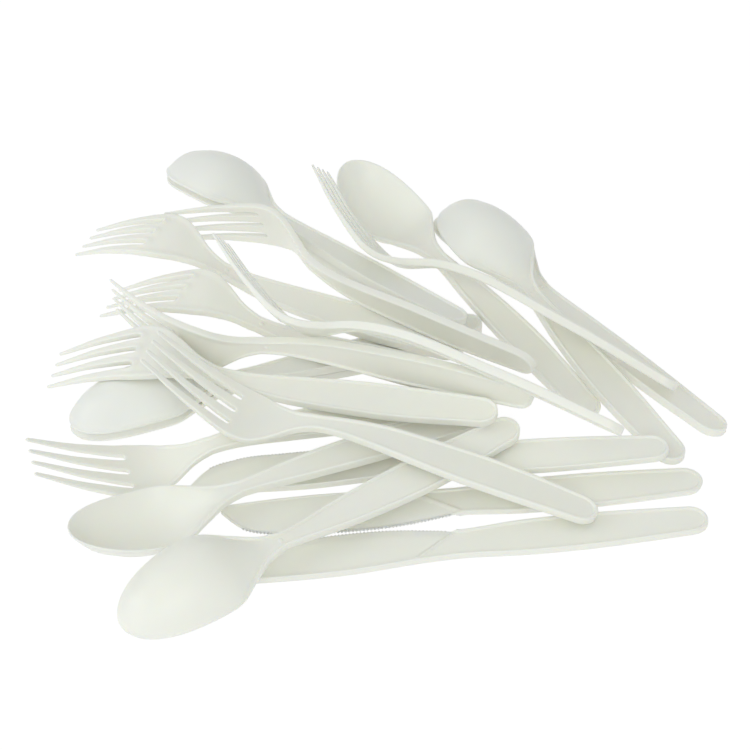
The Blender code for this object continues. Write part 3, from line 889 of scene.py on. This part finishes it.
# %% Fine form, ready to be laid on solids
class Form:
    """A fine piece in its own frame, with its middle and main axes."""

    def __init__(self, points, faces):
        mesh = joined('form', [(points, faces)])
        self.points = points * MM
        self.tree = BVHTree.FromPolygons(self.points.tolist(), faces)
        area = np.zeros(len(points))
        for p in mesh.polygons:
            for v in p.vertices:
                area[v] += p.area / len(p.vertices)
        self.middle, self.axes = main_axes(self.points, area)
        self.axes[:, 2] = np.cross(self.axes[:, 0], self.axes[:, 1])
        bpy.data.meshes.remove(mesh)

    def closer(self, target, rotation, shift, rounds):
        """Rounds of matching each target point with the closest one of the form."""
        for _ in range(rounds):
            back = (target - shift) @ rotation
            near = [self.tree.find_nearest(p) for p in back]
            close = np.array([n[0] for n in near])
            gap = np.array([n[3] for n in near])
            keep = gap <= np.quantile(gap, KEPT_SHARE)
            rotation, shift = best_turn(close[keep], target[keep])
        return float(np.sqrt(np.mean(gap[keep] ** 2))), rotation, shift

    def fit(self, name):
        """Error, turn and shift that lay the form on the solid of that name."""
        target, weight = solid_points(name)
        centre, axes = main_axes(target, weight)
        picks = np.random.default_rng(1).permutation(len(target))
        tries = []
        for sx, sy in ((1, 1), (1, -1), (-1, 1), (-1, -1)):
            turned = axes * (sx, sy, 1)
            turned[:, 2] = np.cross(turned[:, 0], turned[:, 1])
            rotation = turned @ self.axes.T
            shift = centre - rotation @ self.middle
            tries.append(self.closer(target[picks[:COARSE_POINTS]], rotation, shift, COARSE_ROUNDS))
        _, rotation, shift = min(tries, key=lambda t: t[0])
        return self.closer(target[picks[:FINE_POINTS]], rotation, shift, FINE_ROUNDS)


# %% [markdown]
# Now each piece gets its own mesh, a copy of its kind's form moved to where the fit says. The move
# goes into the points themselves, so the object stays at the origin and its material's pattern
# never slides.

# %% Laying the pieces on their solids
knife_teeth = teeth(plastic)
print('teeth:', len(knife_teeth[0]) // (2 * TOOTH_CORNERS), 'on each knife')
forms = {'fork': [fork], 'spoon': [spoon], 'knife': [knife, knife_teeth]}
fitted = {kind: Form(*parts[0]) for kind, parts in forms.items()}
for name in sorted(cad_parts):
    kind = name.split('_')[0]
    error, rotation, shift = fitted[kind].fit(name)
    mesh = joined(name, forms[kind])
    own = np.array([v.co for v in mesh.vertices])
    mesh.vertices.foreach_set('co', (own @ rotation.T + shift).ravel())
    mesh.materials.append(plastic)
    mesh.update()
    piece = bpy.data.objects.new(name + '_moulding', mesh)
    bpy.context.scene.collection.objects.link(piece)
    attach(piece, 'root')
    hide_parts(name)
    print(name, 'fits to %.2f mm' % (error / MM), 'with', len(mesh.polygons), 'faces')

# %% [markdown]
# The photograph looks down at the heap at 44 degrees from about 70 cm. The far ends of the pieces
# shrink only a little, which a long lens at that distance gives and an orthographic one would not.

# %% Camera
CAMERA_ELEVATION = math.radians(44.36)
CAMERA_DISTANCE = 0.7137
CAMERA_AIM = Vector((-0.0035, 0.0031, 0))
CAMERA_LENS = 92.85

camera = bpy.data.objects.new('camera', bpy.data.cameras.new('camera'))
camera.data.lens = CAMERA_LENS
camera.data.sensor_width = 36
outwards = Vector((0, -math.cos(CAMERA_ELEVATION), math.sin(CAMERA_ELEVATION)))
camera.location = CAMERA_AIM + CAMERA_DISTANCE * outwards
camera.rotation_euler = (0.5 * math.pi - CAMERA_ELEVATION, 0, 0)
bpy.context.scene.collection.objects.link(camera)
bpy.context.scene.camera = camera
print('camera at', [round(c, 3) for c in camera.location])

# %% [markdown]
# The table is white and overexposed in the photo, like a light box, so only the closest shade under
# the heap shows on it. Part of its light is its own glow, which lights the undersides of the pieces
# as the real one does. For what is seen directly, or mirrored in the plastic, the glow's share is
# larger, which keeps the background white without any more light on the pieces.

# %% Table
TABLE_REACH = 3.0
TABLE_WHITE = 0.93
TABLE_ROUGHNESS = 0.9
GLOW_SHARE = 0.38
GLOW_SHARE_SEEN = 0.85
GLOW_STRENGTH = 1.08

floor_mesh = bpy.data.meshes.new('table')
corners = [(-1, -1), (1, -1), (1, 1), (-1, 1)]
floor_mesh.from_pydata([(TABLE_REACH * x, TABLE_REACH * y, 0) for x, y in corners], [], [(0, 1, 2, 3)])
table = bpy.data.objects.new('table', floor_mesh)
bpy.context.scene.collection.objects.link(table)


# %% White that glows
def seen_directly(nodes, links):
    """1 for what the camera sees, by itself or mirrored in a surface, and 0 for other light."""
    rays = nodes.new('ShaderNodeLightPath')
    either = nodes.new('ShaderNodeMath')
    either.operation = 'MAXIMUM'
    links.new(rays.outputs['Is Camera Ray'], either.inputs[0])
    links.new(rays.outputs['Is Glossy Ray'], either.inputs[1])
    return either.outputs[0]


def white_table():
    material = bpy.data.materials.new('white_table')
    material.use_nodes = True
    nodes, links = material.node_tree.nodes, material.node_tree.links
    board = nodes['Principled BSDF']
    board.inputs['Base Color'].default_value = (TABLE_WHITE, TABLE_WHITE, TABLE_WHITE, 1)
    board.inputs['Roughness'].default_value = TABLE_ROUGHNESS
    glow = nodes.new('ShaderNodeEmission')
    glow.inputs['Strength'].default_value = GLOW_STRENGTH
    share = nodes.new('ShaderNodeMapRange')
    share.inputs['To Min'].default_value = GLOW_SHARE
    share.inputs['To Max'].default_value = GLOW_SHARE_SEEN
    mix = nodes.new('ShaderNodeMixShader')
    links.new(seen_directly(nodes, links), share.inputs['Value'])
    links.new(share.outputs[0], mix.inputs['Fac'])
    links.new(board.outputs[0], mix.inputs[1])
    links.new(glow.outputs[0], mix.inputs[2])
    links.new(mix.outputs[0], nodes['Material Output'].inputs['Surface'])
    return material


floor_mesh.materials.append(white_table())
print('table:', 2 * TABLE_REACH, 'm wide')

# %% [markdown]
# The light is that of a photographer's tent: it comes from all round, so the shadows are faint. A
# world colour alone would do that, but it leaves the domes and beads flat. Two broad soft lamps
# give them their shape: one on the camera's side, which lights the walls that face the viewer, and
# one on the left.

# %% Colours and powers of the light
TENT_LIGHT = (0.975, 1.0, 1.0, 1)
TENT_STRENGTH = 0.57
LAMP_SIZE = 1.0
FRONT_LAMP_AT = (0, -1.0, 0.9)
FRONT_POWER = 4.2
LEFT_LAMP_AT = (-1.1, -0.1, 0.7)
LEFT_POWER = 3.2

# %% Tent
world = bpy.data.worlds.new('studio')
bpy.context.scene.world = world
world.use_nodes = True
nodes, links = world.node_tree.nodes, world.node_tree.links
backdrop = nodes['Background']
backdrop.inputs['Color'].default_value = TENT_LIGHT
backdrop.inputs['Strength'].default_value = TENT_STRENGTH
plain_white = nodes.new('ShaderNodeBackground')
plain_white.inputs['Color'].default_value = (1, 1, 1, 1)
choice = nodes.new('ShaderNodeMixShader')
links.new(seen_directly(nodes, links), choice.inputs['Fac'])
links.new(backdrop.outputs[0], choice.inputs[1])
links.new(plain_white.outputs[0], choice.inputs[2])
links.new(choice.outputs[0], nodes['World Output'].inputs['Surface'])


# %% Lamps
def lamp(name, place, power):
    light = bpy.data.lights.new(name, 'AREA')
    light.size = LAMP_SIZE
    light.energy = power
    light.color = TENT_LIGHT[:3]
    thing = bpy.data.objects.new(name, light)
    thing.location = place
    thing.rotation_euler = (-Vector(place)).to_track_quat('-Z', 'Y').to_euler()
    bpy.context.scene.collection.objects.link(thing)


lamp('front', FRONT_LAMP_AT, FRONT_POWER)
lamp('left', LEFT_LAMP_AT, LEFT_POWER)
print('lamps:', FRONT_POWER, 'and', LEFT_POWER, 'W')

bpy.context.scene.view_settings.view_transform = 'Standard'
